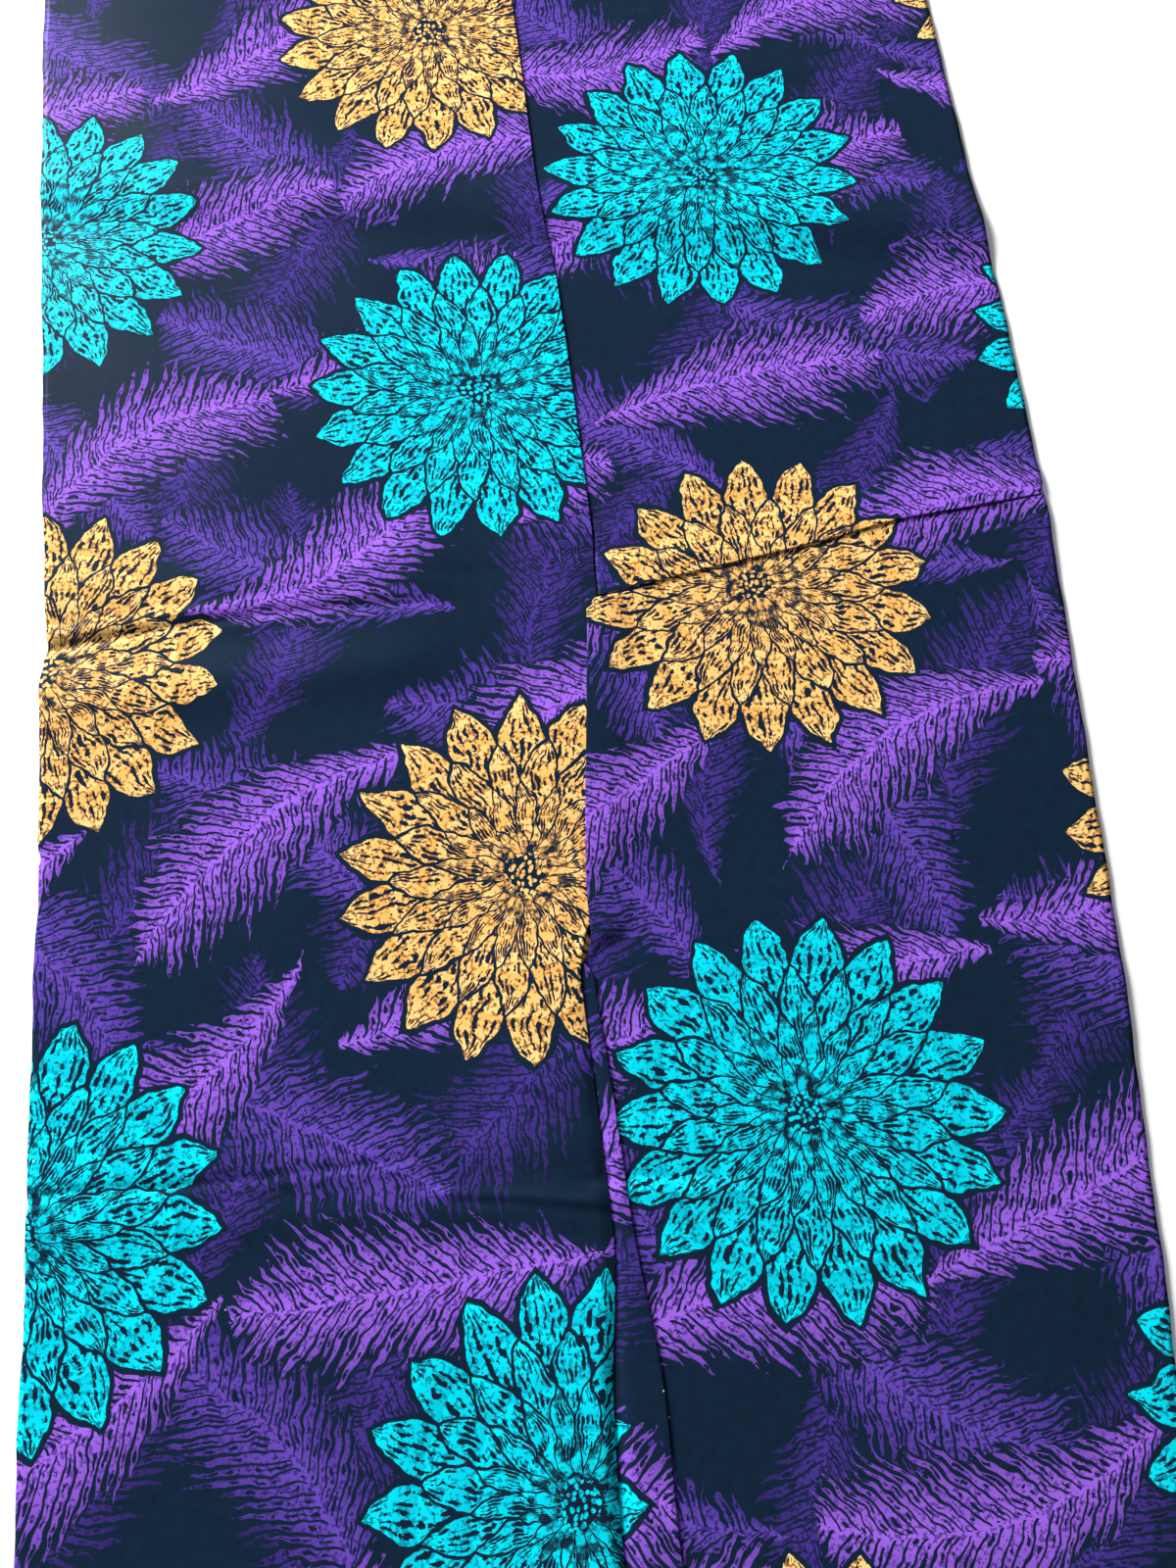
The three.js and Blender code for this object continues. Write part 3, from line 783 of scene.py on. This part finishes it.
# %% [markdown]
# Wax print is cotton, printed on both faces with a resin that keeps the dye out: crisp shapes, dark outlines,
# specks and hairlines where the wax cracked. The design here is a plain one of layered round flowers in gold
# and teal, in half-drop columns, over leaf sprays in three purples on a navy ground. A picture of a print
# would blur close to, so every shape is a formula on the flat cloth's own metres, and stays sharp at any
# size.

# %% The half-drop layout
def cells(tree, place, width, height, turn=0.0):
    """Splits the cloth into cells in columns, every other column dropped by half a cell. Returns x and y from
    the cell's middle, and the cell's column and row."""
    if turn:
        place = node(tree, "VectorRotate", place, None, None, radians(turn), rotation_type="Z_AXIS")
    x, y = node(tree, "SeparateXYZ", place, out=slice(0, 2))
    column = node(tree, "Math", node(tree, "Math", x, width, operation="DIVIDE"), operation="ROUND")
    x = node(tree, "Math", column, -width, x, operation="MULTIPLY_ADD")
    odd = node(tree, "Math", column, 2.0, operation="FLOORED_MODULO")
    y = node(tree, "Math", odd, height / 2, y, operation="MULTIPLY_ADD")
    row = node(tree, "Math", node(tree, "Math", y, height, operation="DIVIDE"), operation="ROUND")
    y = node(tree, "Math", row, -height, y, operation="MULTIPLY_ADD")
    return x, y, column, row


def draw(tree, column, row, salt):
    """Three numbers from 0 to 1 that belong to a cell."""
    number = node(tree, "CombineXYZ", column, row, salt)
    drawn = node(tree, "TexWhiteNoise", number, noise_dimensions="3D", out=1)
    return node(tree, "SeparateXYZ", drawn, out=slice(0, 3))


def from_nearest(tree, number):
    """Twice the distance from a number to the nearest whole one: 0 on it, and 1 midway between two."""
    distance = node(tree, "Math", number, 0.5, operation="PINGPONG")
    return node(tree, "Math", distance, 2.0, operation="MULTIPLY")


def falling(tree, value, power):
    """1 minus a value to a power: from 1 down to 0 as the value goes from 0 to 1."""
    value = node(tree, "Math", value, power, operation="POWER")
    return node(tree, "Math", value, -1.0, 1.0, operation="MULTIPLY_ADD")


# %% The layered flowers
FLOWER_WIDTH, FLOWER_DROP = 0.44, 0.505  # the layout's cell
FLOWER_STRAYS = 0.018, 0.040  # range over which a flower may sit off the middle of its cell, across and along
FLOWER_SALT = 3.0
FLOWER_RADIUS = 0.175
PETALS = 18
RINGS = 5
RING_POWER = 0.75  # below 1, the outer rings are longer than the inner ones
TAPER = 1.6  # at 1 a petal is a triangle, and higher it is fuller
HALO = 0.0045  # dark border round a flower
OUTLINE = 0.0018  # half the dark line between petals
VEINS = 3.0
VEIN_GRAIN, VEIN_HALF = (0.40, 0.60), (-0.0006, 0.0026)  # half a vein's width at two values of the grain
FULL_STROKE, FINE_STROKE = 0.13, 0.12  # radius from which lines are full, and their share at the middle
LEAST_WIDTH = 0.05  # keeps a petal's veins apart at its tip
DISC = 0.017
SEEDS, SEED_RADIUS = 190.0, 0.36  # seeds to the metre across the disc, and their size in shares of their cell
BEHIND = 0.65  # how bright a petal that lies behind can get, where one in front gets to 1


def flowers(tree, place, grain):
    """Rings of pointed petals that overlap like scales. The distance from the centre, to a power, counts the
    rings: its whole part is the ring and the rest, q, runs from a petal's root to its tip. A petal's half
    width is 1 - q^TAPER, in shares of its place on the circle. What is left of that after aside, the angle
    from the petal's middle, says whether a point is on the petal or on the one behind it. Returns where the
    flower is, where it is with its border, where it is dark, how bright its dye is and if it is teal."""
    x, y, column, row = cells(tree, place, FLOWER_WIDTH, FLOWER_DROP)
    drawn = draw(tree, column, row, FLOWER_SALT)
    stray = [node(tree, "Math", drawn[k], -0.5, operation="ADD") for k in (0, 1)]
    x = node(tree, "Math", stray[0], FLOWER_STRAYS[0], x, operation="MULTIPLY_ADD")
    y = node(tree, "Math", stray[1], FLOWER_STRAYS[1], y, operation="MULTIPLY_ADD")
    radius = node(tree, "VectorMath", node(tree, "CombineXYZ", x, y), operation="LENGTH", out=1)
    angle = node(tree, "Math", y, x, operation="ARCTAN2")
    turns = node(tree, "Math", angle, PETALS / tau, drawn[2], operation="MULTIPLY_ADD")
    share = node(tree, "Math", radius, 1 / FLOWER_RADIUS, operation="MULTIPLY")
    share = node(tree, "Math", share, RING_POWER, operation="POWER")
    rings = node(tree, "Math", share, float(RINGS), operation="MULTIPLY")
    ring = node(tree, "Math", rings, operation="FLOOR")
    q = node(tree, "Math", rings, operation="FRACT")
    half = node(tree, "Math", radius, pi / PETALS, operation="MULTIPLY")
    stroke = node(tree, "MapRange", radius, 0.0, FULL_STROKE, FINE_STROKE, 1.0)

    # The petal of this ring, and the one behind it. Each ring is staggered by half a petal.
    staggered = node(tree, "Math", ring, 0.5, turns, operation="MULTIPLY_ADD")
    aside = from_nearest(tree, staggered)
    width = falling(tree, q, TAPER)
    left_over = node(tree, "Math", width, aside, operation="SUBTRACT")
    front = node(tree, "Math", left_over, 0.0, operation="GREATER_THAN")
    outline = node(tree, "Math", left_over, operation="ABSOLUTE")
    outline = node(tree, "Math", outline, half, operation="MULTIPLY")

    # Veins: lines that run from root to tip, closer together as the petal narrows, broken by the grain.
    front_share = node(tree, "Math", width, LEAST_WIDTH, operation="MAXIMUM")
    front_share = node(tree, "Math", aside, front_share, operation="DIVIDE")
    behind_share = node(tree, "Math", 1.0, aside, operation="SUBTRACT")
    across = node(tree, "MixRGB", front, behind_share, front_share)
    vein = node(tree, "Math", across, VEINS, operation="MULTIPLY")
    vein = node(tree, "Math", vein, 0.5, operation="PINGPONG")
    spacing = node(tree, "Math", half, 1 / VEINS, operation="MULTIPLY")
    vein = node(tree, "Math", vein, spacing, operation="MULTIPLY")
    thick = node(tree, "MapRange", grain, *VEIN_GRAIN, *VEIN_HALF)
    thick = node(tree, "Math", thick, stroke, operation="MULTIPLY")
    dark = node(tree, "Math", vein, thick, operation="LESS_THAN")
    lined = node(tree, "Math", stroke, OUTLINE, operation="MULTIPLY")
    lined = node(tree, "Math", outline, lined, operation="LESS_THAN")
    dark = node(tree, "Math", dark, lined, operation="MAXIMUM")

    # The disc in the middle is dark, with seeds in it.
    seed = node(tree, "TexVoronoi", place, None, SEEDS, voronoi_dimensions="2D")
    between = node(tree, "Math", seed, SEED_RADIUS, operation="GREATER_THAN")
    disc = node(tree, "Math", radius, DISC, operation="LESS_THAN")
    dark = node(tree, "MixRGB", disc, dark, between)

    # The whole flower's outline is that of its last ring.
    last = from_nearest(tree, node(tree, "Math", turns, 0.5 * (RINGS - 1), operation="ADD"))
    beyond = node(tree, "Math", rings, RINGS - 1.0, operation="SUBTRACT")
    beyond = node(tree, "Math", beyond, 0.0, operation="MAXIMUM")
    inside = node(tree, "Math", falling(tree, beyond, TAPER), last, operation="SUBTRACT")
    inside = node(tree, "Math", inside, half, operation="MULTIPLY")
    petal = node(tree, "Math", inside, OUTLINE, operation="GREATER_THAN")
    inner = node(tree, "Math", rings, RINGS - 1.0, operation="LESS_THAN")
    petal = node(tree, "Math", petal, inner, operation="MAXIMUM")
    halo = node(tree, "Math", inside, -HALO, operation="GREATER_THAN")
    teal = node(tree, "Math", row, 2.0, operation="FLOORED_MODULO")
    bright = node(tree, "Math", front, 1 - BEHIND, BEHIND, operation="MULTIPLY_ADD")
    bright = node(tree, "Math", q, bright, operation="MULTIPLY")
    return petal, halo, dark, bright, teal


print("flowers", 2 * FLOWER_RADIUS, "m across, with", RINGS, "rings of", PETALS, "petals")

# %% The leaf sprays
SLANT = 0.85  # how far a leaflet leans forward for each step outwards
SWAY = 0.32  # radians that a spray may turn either way
BEND = 4.8  # how strongly its stem may bow, in 1/m
STEM = 0.0022  # half the stem's width
SHORTEST, LEAST_REACH = 0.62, 0.0005  # a leaflet's least share of the outline, and its least length at all
BLADE = 0.80  # its width at its root, as a share of the pitch
BLUNT = 3.0  # at 1 it is a triangle, and higher it is blunter
SLIT_GRAIN, SLIT = (0.46, 0.62), (-0.05, 0.34)  # half the dark slit in it at two values of the grain
COVERS = 0.9  # share of a leaflet's length over which the ground between hides the sprays behind


def spray(tree, place, grain, cell, leaf, turn, pitch, salt):
    """A curved stem with leaflets on both sides. Leaflets slant: each belongs to the stem's place a little
    further back the further out it is. They repeat every pitch, are staggered from side to side, and end
    where their own drawn share of the spray's outline ends: half its width, times 1 minus the square of the
    share of its length. Returns the leaflets, what they cover and how far out towards its tip a point is."""
    half_width, half_length = leaf
    x, y, column, row = cells(tree, place, *cell, turn)
    drawn = draw(tree, column, row, salt)
    turned = node(tree, "MapRange", drawn[0], 0.0, 1.0, -SWAY, SWAY)
    local = node(tree, "CombineXYZ", x, y)
    local = node(tree, "VectorRotate", local, None, None, turned, rotation_type="Z_AXIS")
    x, y = node(tree, "SeparateXYZ", local, out=slice(0, 2))
    facing = node(tree, "Math", drawn[2], 0.5, operation="SUBTRACT")
    facing = node(tree, "Math", facing, operation="SIGN")
    along_stem = node(tree, "Math", y, facing, operation="MULTIPLY")
    bow = node(tree, "MapRange", drawn[1], 0.0, 1.0, -BEND / 2, BEND / 2)
    off = node(tree, "Math", y, y, operation="MULTIPLY")
    off = node(tree, "Math", off, bow, x, operation="MULTIPLY_ADD")
    out = node(tree, "Math", off, operation="ABSOLUTE")
    root = node(tree, "Math", out, -SLANT, along_stem, operation="MULTIPLY_ADD")
    share = node(tree, "Math", root, 1 / half_length, operation="MULTIPLY")
    swelling = node(tree, "Math", share, share, operation="MULTIPLY")
    swelling = node(tree, "Math", swelling, -1.0, 1.0, operation="MULTIPLY_ADD")
    side = node(tree, "Math", off, 0.0, operation="GREATER_THAN")
    side = node(tree, "Math", side, 0.5, operation="MULTIPLY")
    count = node(tree, "Math", root, 1 / pitch, side, operation="MULTIPLY_ADD")
    number = node(tree, "Math", count, operation="ROUND")
    number = node(tree, "CombineXYZ", number, side, drawn[0])
    own = node(tree, "TexWhiteNoise", number, noise_dimensions="3D")
    reach = node(tree, "MapRange", own, 0.0, 1.0, SHORTEST * half_width, half_width)
    reach = node(tree, "Math", swelling, reach, operation="MULTIPLY")
    reach = node(tree, "Math", reach, LEAST_REACH, operation="MAXIMUM")
    tip = node(tree, "Math", out, reach, operation="DIVIDE")
    aside = from_nearest(tree, count)
    blade = node(tree, "Math", tip, BLUNT, operation="POWER")
    blade = node(tree, "Math", blade, -BLADE, BLADE, operation="MULTIPLY_ADD")
    blade = node(tree, "Math", blade, aside, operation="GREATER_THAN")
    slit = node(tree, "MapRange", grain, *SLIT_GRAIN, *SLIT)
    slit = node(tree, "Math", aside, slit, operation="GREATER_THAN")
    blade = node(tree, "Math", blade, slit, operation="MULTIPLY")
    stem = node(tree, "Math", swelling, STEM, operation="MULTIPLY")
    stem = node(tree, "Math", out, stem, operation="LESS_THAN")
    blade = node(tree, "Math", blade, stem, operation="MAXIMUM")
    covered = node(tree, "Math", tip, COVERS, operation="LESS_THAN")
    return blade, covered, tip


# %% The dyes, and printing with them
NAVY, NAVY_DEEP = "132439", "0d1b29"
VIOLET, VIOLET_DEEP = "3f2e80", "271f52"
MIDDLE, MIDDLE_DEEP = "5b3f9f", "392874"
ORCHID, ORCHID_DEEP = "905bce", "5a3994"
GOLD, GOLD_DEEP, GOLD_SPECK = "efcb84", "d8a254", "9c6a38"
TEAL, TEAL_DEEP, TEAL_SPECK = "04dae8", "04b2c6", "05889c"

# Each kind of spray, in metres: its cell, its half width and half length, its turn in degrees, the pitch of
# its leaflets, the number that its draws start from, and its dyes at the stem and at the tips.
SPRAYS = (
    ((0.198, 0.290), (0.074, 0.156), 31.0, 0.0105, 1.0, VIOLET, VIOLET_DEEP),
    ((0.208, 0.300), (0.078, 0.160), -52.0, 0.0110, 5.0, MIDDLE, MIDDLE_DEEP),
    ((0.218, 0.306), (0.082, 0.163), 74.0, 0.0115, 9.0, ORCHID, ORCHID_DEEP),
)


def print_sprays(tree, place, grain, speck, ground):
    """One kind of spray after another, each with the bare ground between its leaflets."""
    printed = ground
    for cell, leaf, turn, pitch, salt, bright, deep in SPRAYS:
        blade, covered, tip = spray(tree, place, grain, cell, leaf, turn, pitch, salt)
        dye = node(tree, "MixRGB", tip, colour(bright), colour(deep))
        dye = node(tree, "MixRGB", speck, dye, colour(deep))
        printed = node(tree, "MixRGB", covered, printed, ground)
        printed = node(tree, "MixRGB", blade, printed, dye)
    return printed


def print_flowers(tree, place, grain, speck, ground, printed):
    """The flowers lie over the sprays: a border of bare ground first, and then the petals."""
    petal, halo, dark, bright, teal = flowers(tree, place, grain)
    dyes = []
    for deep, full, spot in ((GOLD_DEEP, GOLD, GOLD_SPECK), (TEAL_DEEP, TEAL, TEAL_SPECK)):
        dye = node(tree, "MixRGB", bright, colour(deep), colour(full))
        dyes.append(node(tree, "MixRGB", speck, dye, colour(spot)))
    dye = node(tree, "MixRGB", teal, *dyes)
    dye = node(tree, "MixRGB", dark, dye, ground)
    printed = node(tree, "MixRGB", halo, printed, ground)
    return node(tree, "MixRGB", petal, printed, dye)


# %% Lint and weave
PALE_LINT = "c8c8d6"
LINT = table(
    "x y size",
    (151, 111, 0.6),
    (-346, -584, 0.6),
    (-7, -174, 0.5),
    (5, -687, 0.7),
    (7, -707, 0.5),
    (-505, -447, 0.9),
)
THREAD = 0.0012  # drawn four times as coarse as the real 0.3 mm, or it would not show
THREAD_SHARE = 0.5  # of the weave in the relief, beside the yarn's unevenness
YARN_NOISE = (400.0, 2.0, 0.7)  # waves to the metre, detail and roughness
RELIEF = (0.35, 0.00015)  # strength, and depth in metres


def lay_lint(tree, printed):
    """A few specks of lint: pale dots at their places on the laid-out cloth."""
    where = node(tree, "VectorMath", node(tree, "TexCoord", out=3), (1.0, 1.0, 0.0), operation="MULTIPLY")
    for x, y, size in zip(*LINT.values()):
        off = node(tree, "VectorMath", where, (x * MM, y * MM, 0.0), operation="DISTANCE", out=1)
        speckled = node(tree, "Math", off, size * MM, operation="LESS_THAN")
        printed = node(tree, "MixRGB", speckled, printed, colour(PALE_LINT))
    return printed


def woven(tree, flat):
    """The weave's relief: warp and weft as two sines, multiplied so that they take turns, on uneven yarn."""
    yarn = node(tree, "TexNoise", flat, None, *YARN_NOISE, noise_dimensions="2D")
    scaled = node(tree, "VectorMath", flat, None, None, pi / THREAD, operation="SCALE")
    across, lengthwise = node(tree, "SeparateXYZ", scaled, out=slice(0, 2))
    warp = node(tree, "Math", across, operation="SINE")
    weft = node(tree, "Math", lengthwise, operation="SINE")
    weave = node(tree, "Math", warp, weft, operation="MULTIPLY")
    weave = node(tree, "Math", weave, THREAD_SHARE, yarn, operation="MULTIPLY_ADD")
    return node(tree, "Bump", *RELIEF, None, weave)


print(len(LINT["x"]), "specks of lint, threads", THREAD, "m apart")

# %% The printed cotton
# Noises, each with its waves to the metre, detail and roughness. The first makes every outline wander as if
# cut by hand, the grain is where the wax took unevenly, and specks are where it let the dye through.
WANDER_NOISE, WANDER = (30.0, 2.0, 0.55), 0.014
GRAIN_NOISE = (90.0, 3.0, 0.6)
SPECK_NOISE, SPECK_GRAIN, SPECK_EDGE = (260.0, 1.0, 0.5), 0.55, (0.80, 0.85)
ROUGH_GRAIN, ROUGHNESS = (0.3, 0.7), (0.38, 0.46)


def printed_cotton():
    """Plain-weave cotton, wax printed and pressed: matt, with the faint shine of a starched, pressed face."""
    material = bpy.data.materials.new("printed_cotton")
    material.use_nodes = True
    tree = material.node_tree
    shader = tree.nodes["Principled BSDF"]
    flat = node(tree, "UVMap", uv_map="flat_cloth")
    wander = node(tree, "TexNoise", flat, None, *WANDER_NOISE, out=1, noise_dimensions="2D")
    wander = node(tree, "VectorMath", wander, (0.5, 0.5, 0.5), operation="SUBTRACT")
    wander = node(tree, "VectorMath", wander, None, None, WANDER, operation="SCALE")
    place = node(tree, "VectorMath", flat, wander, operation="ADD")
    grain = node(tree, "TexNoise", place, None, *GRAIN_NOISE, noise_dimensions="2D")
    speck = node(tree, "TexNoise", flat, None, *SPECK_NOISE, noise_dimensions="2D")
    speck = node(tree, "Math", grain, SPECK_GRAIN, speck, operation="MULTIPLY_ADD")
    speck = node(tree, "MapRange", speck, *SPECK_EDGE, 0.0, 1.0)
    ground = node(tree, "MixRGB", grain, colour(NAVY), colour(NAVY_DEEP))
    printed = print_sprays(tree, place, grain, speck, ground)
    printed = print_flowers(tree, place, grain, speck, ground, printed)
    printed = lay_lint(tree, printed)
    rough = node(tree, "MapRange", grain, *ROUGH_GRAIN, *ROUGHNESS)
    tree.links.new(printed, shader.inputs["Base Color"])
    tree.links.new(woven(tree, flat), shader.inputs["Normal"])
    tree.links.new(rough, shader.inputs["Roughness"])
    shader.inputs["IOR"].default_value = 1.5
    shader.inputs["Specular IOR Level"].default_value = 0.02
    shader.inputs["Specular Tint"].default_value = (0.72, 0.84, 1.0, 1.0)
    shader.inputs["Sheen Weight"].default_value = 0.01
    shader.inputs["Sheen Roughness"].default_value = 0.45
    print("printed cotton:", len(tree.nodes), "nodes")
    return material


cotton = printed_cotton()

# %% [markdown]
# Each piece now takes the cotton, says which solids it stands for, and rides on the one body there is.

# %% Pieces join the frame
# Each piece, the solids that it stands for, its flat width and length in metres, and what it rests on.
pieces = (
    (left_piece, ("left_panel",), (0.60, 1.84), ["under_lengths"]),
    (ply_piece, ("pleat_ply",), (0.10, 0.595), ["right_lower_stretch"]),
    (lower_piece, ("right_panel_lower",), (0.50, 1.0), ["under_lengths"]),
    (upper_piece, ("right_panel_upper",), (0.53, 0.88), ["under_lengths", "right_lower_stretch"]),
    (under_piece, ("hidden_lengths",), (1.18, 3.66), ["floor"]),
)
for piece, nodes, flat_size, rests_on in pieces:
    piece.data.materials.append(cotton)
    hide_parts(*nodes)
    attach(piece, "root")
    print(piece.name, "stands for", *nodes)

# %% [markdown]
# The studio is a pale floor, a large soft light high on the far left, which rakes across the folds, and an
# even pale surround that fills the shadows.

# %% The pale floor
FLOOR_HALF = 6.0  # m
PAPER = "f4f4f2"
corners = [(x * FLOOR_HALF, y * FLOOR_HALF, 0) for x, y in ((-1, -1), (1, -1), (1, 1), (-1, 1))]
floor_mesh = bpy.data.meshes.new("floor")
floor_mesh.from_pydata(corners, [], [(0, 1, 2, 3)])
floor = bpy.data.objects.new("floor", floor_mesh)
bpy.context.scene.collection.objects.link(floor)
paper = bpy.data.materials.new("pale_floor")
paper.use_nodes = True
paper_shader = paper.node_tree.nodes["Principled BSDF"]
paper_shader.inputs["Base Color"].default_value = colour(PAPER)
paper_shader.inputs["Roughness"].default_value = 0.9
floor.data.materials.append(paper)
print("floor", 2 * FLOOR_HALF, "m wide")


# %% The light and the surround
def soft_light(name, size, power, turn, rise, distance, tint):
    """A square light that looks at the middle of the cloth. turn: degrees from +Y to the left. rise: degrees
    above the floor."""
    data = bpy.data.lights.new(name, "AREA")
    data.size = size
    data.energy = power
    data.color = tint
    light = bpy.data.objects.new(name, data)
    turn, rise = radians(turn), radians(rise)
    level = distance * cos(rise)
    light.location = (-level * sin(turn), level * cos(turn), distance * sin(rise))
    light.rotation_euler = (radians(90) - rise, 0, pi + turn)
    bpy.context.scene.collection.objects.link(light)
    print(name, power, "W from", distance, "m away")


soft_light("window", size=2.6, power=1640.0, turn=38, rise=24, distance=7.0, tint=(1.0, 0.99, 0.98))
world = bpy.data.worlds.new("surround")
world.use_nodes = True
background = world.node_tree.nodes["Background"]
background.inputs["Color"].default_value = (0.9, 0.93, 1.0, 1.0)
background.inputs["Strength"].default_value = 0.32
bpy.context.scene.world = world
bpy.context.scene.view_settings.view_transform = "Standard"
